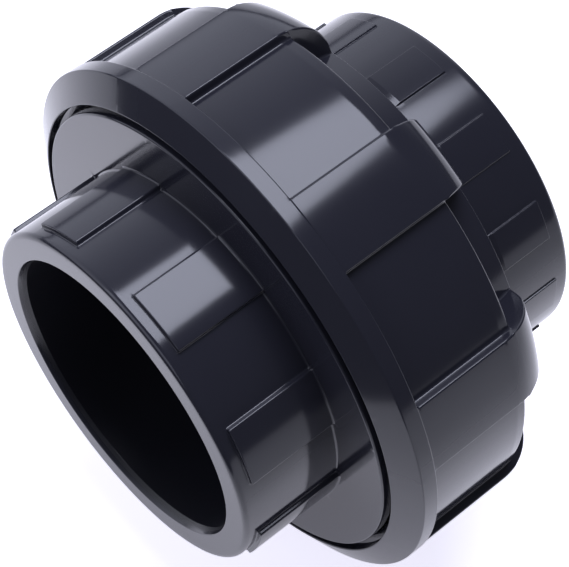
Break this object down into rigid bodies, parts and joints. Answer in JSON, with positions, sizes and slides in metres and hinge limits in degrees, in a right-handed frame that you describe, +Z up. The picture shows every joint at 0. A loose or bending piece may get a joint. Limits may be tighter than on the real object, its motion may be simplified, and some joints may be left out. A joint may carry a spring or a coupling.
{
  "type": "pipe union",
  "caption": "Solvent-weld pipe union: two socket ends drawn together by a lobed union nut over a face-sealing O-ring.",
  "frame": {"origin": "centre of the bounding box: on the pipe axis, half way between the two socket faces", "axes": "+X along the pipe axis from the threaded end towards the tailpiece, +Z up with the union lying on two of the nut's lobes, +Y across"},
  "size_m": [0.121, 0.167, 0.167],
  "materials": {
    "threaded_end_pvc": "moulded gloss",
    "tailpiece_pvc": "moulded gloss",
    "union_nut_pvc": "moulded gloss",
    "o_ring_rubber": "matt rubber"
  },
  "bodies": {
    "threaded_body": {"threaded_end": "threaded_end_pvc", "o_ring": "o_ring_rubber"},
    "tail_body": {"tailpiece": "tailpiece_pvc"},
    "nut_body": {"union_nut": "union_nut_pvc"}
  },
  "joints": [
    {"name": "tail_slide", "type": "slide", "parent": "threaded_body", "child": "tail_body", "axis": [1, 0, 0], "range_m": [0, 0.02]},
    {"name": "nut_turn", "type": "hinge", "parent": "tail_body", "child": "nut_body", "pos_m": [0, 0, 0], "axis": [1, 0, 0], "range_deg": [0, 1440]}
  ],
  "couplings": [
    {"joint": "tail_slide", "follows": "nut_turn", "m_per_rad": 0.00079577}
  ]
}
